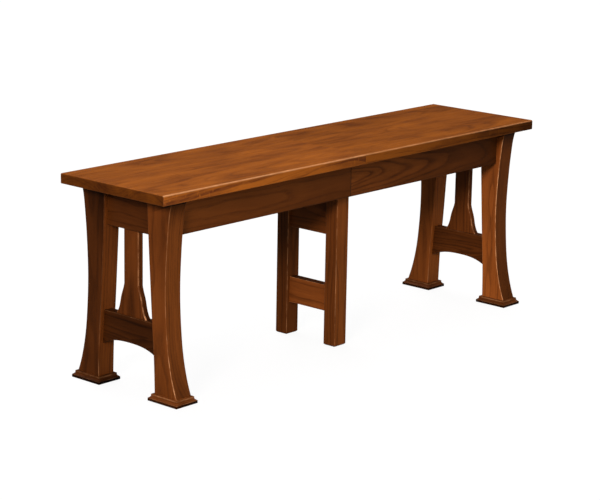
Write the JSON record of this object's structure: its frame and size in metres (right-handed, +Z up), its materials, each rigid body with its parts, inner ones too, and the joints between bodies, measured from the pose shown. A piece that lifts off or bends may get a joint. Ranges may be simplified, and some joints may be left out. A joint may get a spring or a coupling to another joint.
{
  "type": "extension bench",
  "caption": "Backless wooden bench with splayed legs on moulded feet; its two halves slide apart from a fixed centre leg to make room for leaves.",
  "frame": {"origin": "on the floor, at the middle of the closed bench's length and width", "axes": "+X along the bench towards its right end, +Y towards its back, +Z up; the pictured front is at -Y"},
  "size_m": [1.219, 0.313, 0.4435],
  "materials": {
    "seat_oak": "stained oak, semi-gloss lacquer",
    "frame_oak": "stained oak, satin lacquer",
    "hidden_oak": "thinly stained oak, matt",
    "slide_maple": "waxed maple, matt",
    "dowel_beech": "plain beech, matt",
    "gear_steel": "cut steel, lightly oiled",
    "screw_steel": "yellow passivated steel",
    "latch_steel": "zinc plated pressed steel"
  },
  "bodies": {
    "back_pinion": {"back_pinion": "gear_steel"},
    "centre_leg": {"centre_back_post": "frame_oak", "centre_back_runner": "slide_maple", "centre_front_post": "frame_oak", "centre_front_runner": "slide_maple", "centre_lower_stretcher": "frame_oak", "centre_screws": "screw_steel", "centre_top_plate": "hidden_oak", "centre_upper_rail": "frame_oak", "pinion_axles": "gear_steel"},
    "front_pinion": {"front_pinion": "gear_steel"},
    "left_half": {"latch_base": "latch_steel", "latch_base_screws": "screw_steel", "left_apron_screws": "screw_steel", "left_back_apron": "frame_oak", "left_back_foot": "frame_oak", "left_back_leg": "frame_oak", "left_back_runner": "slide_maple", "left_block_screws": "screw_steel", "left_corner_blocks": "hidden_oak", "left_end_rail": "frame_oak", "left_foot_screws": "screw_steel", "left_front_apron": "frame_oak", "left_front_foot": "frame_oak", "left_front_leg": "frame_oak", "left_front_runner": "slide_maple", "left_racks": "gear_steel", "left_runner_screws": "screw_steel", "left_seat_back_board": "seat_oak", "left_seat_front_board": "seat_oak", "left_seat_middle_board": "seat_oak", "left_splat": "frame_oak", "left_stretcher": "frame_oak"},
    "right_half": {"latch_keeper": "latch_steel", "latch_keeper_screws": "screw_steel", "right_apron_screws": "screw_steel", "right_back_apron": "frame_oak", "right_back_foot": "frame_oak", "right_back_leg": "frame_oak", "right_back_runner": "slide_maple", "right_block_screws": "screw_steel", "right_corner_blocks": "hidden_oak", "right_end_rail": "frame_oak", "right_foot_screws": "screw_steel", "right_front_apron": "frame_oak", "right_front_foot": "frame_oak", "right_front_leg": "frame_oak", "right_front_runner": "slide_maple", "right_racks": "gear_steel", "right_runner_screws": "screw_steel", "right_seat_back_board": "seat_oak", "right_seat_front_board": "seat_oak", "right_seat_middle_board": "seat_oak", "right_splat": "frame_oak", "right_stretcher": "frame_oak", "seam_dowels": "dowel_beech"},
    "latch_lever": {"latch_lever": "latch_steel"}
  },
  "joints": [
    {"name": "left_slide", "type": "slide", "parent": "centre_leg", "child": "left_half", "axis": [-1, 0, 0], "range_m": [0, 0.305]},
    {"name": "right_slide", "type": "slide", "parent": "centre_leg", "child": "right_half", "axis": [1, 0, 0], "range_m": [0, 0.305]},
    {"name": "front_pinion_spin", "type": "hinge", "parent": "centre_leg", "child": "front_pinion", "pos_m": [0, -0.059, 0.41], "axis": [0, 0, 1], "range_deg": [0, 1461.3]},
    {"name": "back_pinion_spin", "type": "hinge", "parent": "centre_leg", "child": "back_pinion", "pos_m": [0, 0.059, 0.41], "axis": [0, 0, -1], "range_deg": [0, 1461.3]},
    {"name": "latch_turn", "type": "hinge", "parent": "left_half", "child": "latch_lever", "pos_m": [-0.045, 0, 0.4135], "axis": [0, 0, 1], "range_deg": [0, 14]}
  ],
  "couplings": [
    {"joint": "right_slide", "follows": "left_slide", "ratio": 1},
    {"joint": "front_pinion_spin", "follows": "left_slide", "rad_per_m": 83.333},
    {"joint": "back_pinion_spin", "follows": "left_slide", "rad_per_m": 83.333}
  ]
}
